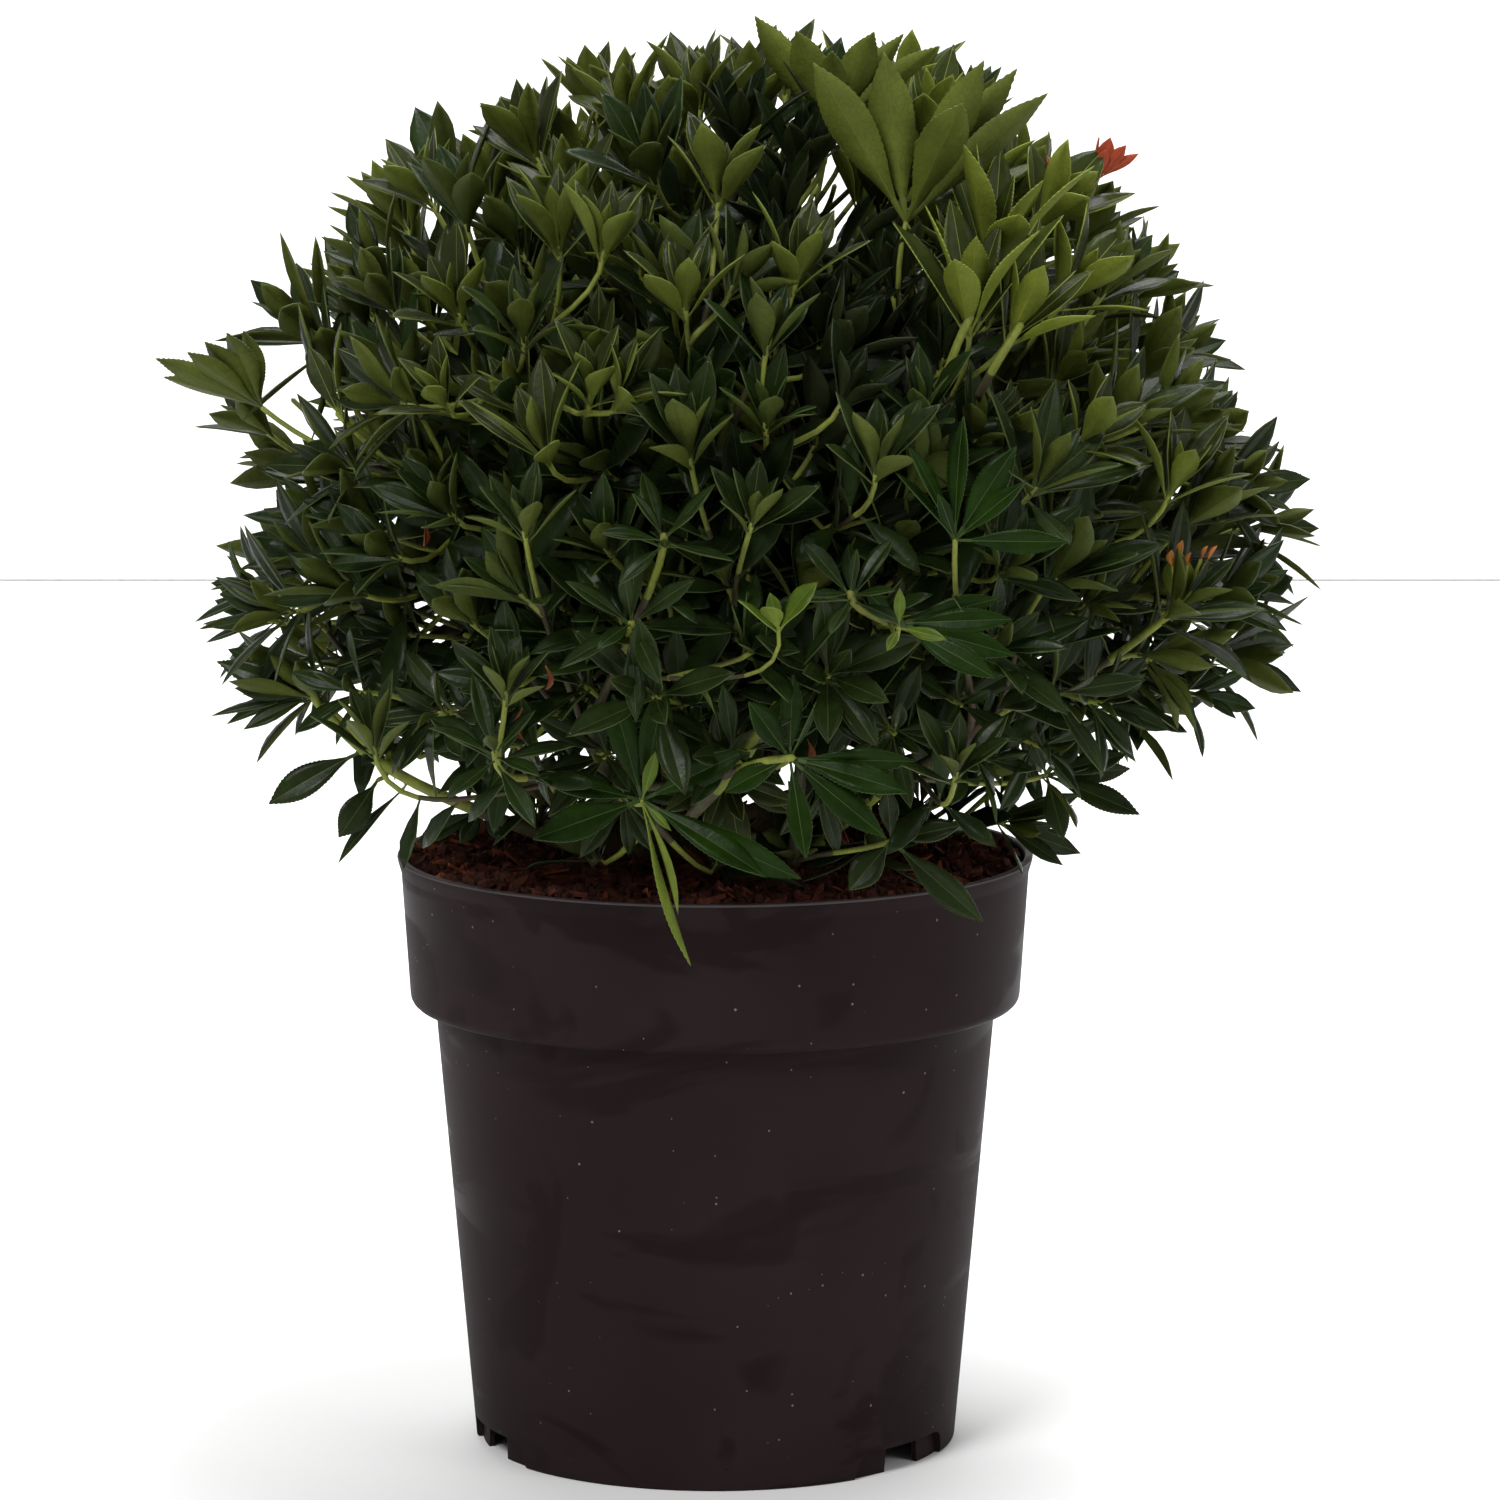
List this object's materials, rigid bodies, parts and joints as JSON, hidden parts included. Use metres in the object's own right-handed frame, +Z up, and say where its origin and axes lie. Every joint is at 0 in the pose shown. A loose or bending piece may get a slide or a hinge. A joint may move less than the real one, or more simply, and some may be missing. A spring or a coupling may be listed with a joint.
{
  "type": "potted japanese pieris",
  "caption": "Compact evergreen shrub with whorls of small glossy leaves, growing from a dark round nursery pot filled to just under its rim with potting soil.",
  "frame": {"origin": "centre of the pot's flat underside, on the pot's axis", "axes": "+Z up along the pot's axis, +X to the right of the front view, the front faces -Y"},
  "size_m": [0.4225, 0.3819, 0.5258],
  "materials": {
    "pot_plastic": "satin, slightly dusty",
    "substrate": "loose damp bark and peat chips",
    "bark": "fine ridged bark",
    "foliage": "glossy upper sides, matt undersides"
  },
  "bodies": {
    "root": {"pot": "pot_plastic", "potting_soil": "substrate", "rootstock": "bark", "bough_top": "bark", "bough_upper_1": "bark", "bough_upper_2": "bark", "bough_upper_3": "bark", "bough_upper_4": "bark", "bough_outer_1": "bark", "bough_outer_2": "bark", "bough_outer_3": "bark", "bough_outer_4": "bark", "bough_outer_5": "bark", "bough_outer_6": "bark", "foliage_top": "foliage", "foliage_upper_1": "foliage", "foliage_upper_2": "foliage", "foliage_upper_3": "foliage", "foliage_upper_4": "foliage", "foliage_outer_1": "foliage", "foliage_outer_2": "foliage", "foliage_outer_3": "foliage", "foliage_outer_4": "foliage", "foliage_outer_5": "foliage", "foliage_outer_6": "foliage"}
  },
  "joints": []
}
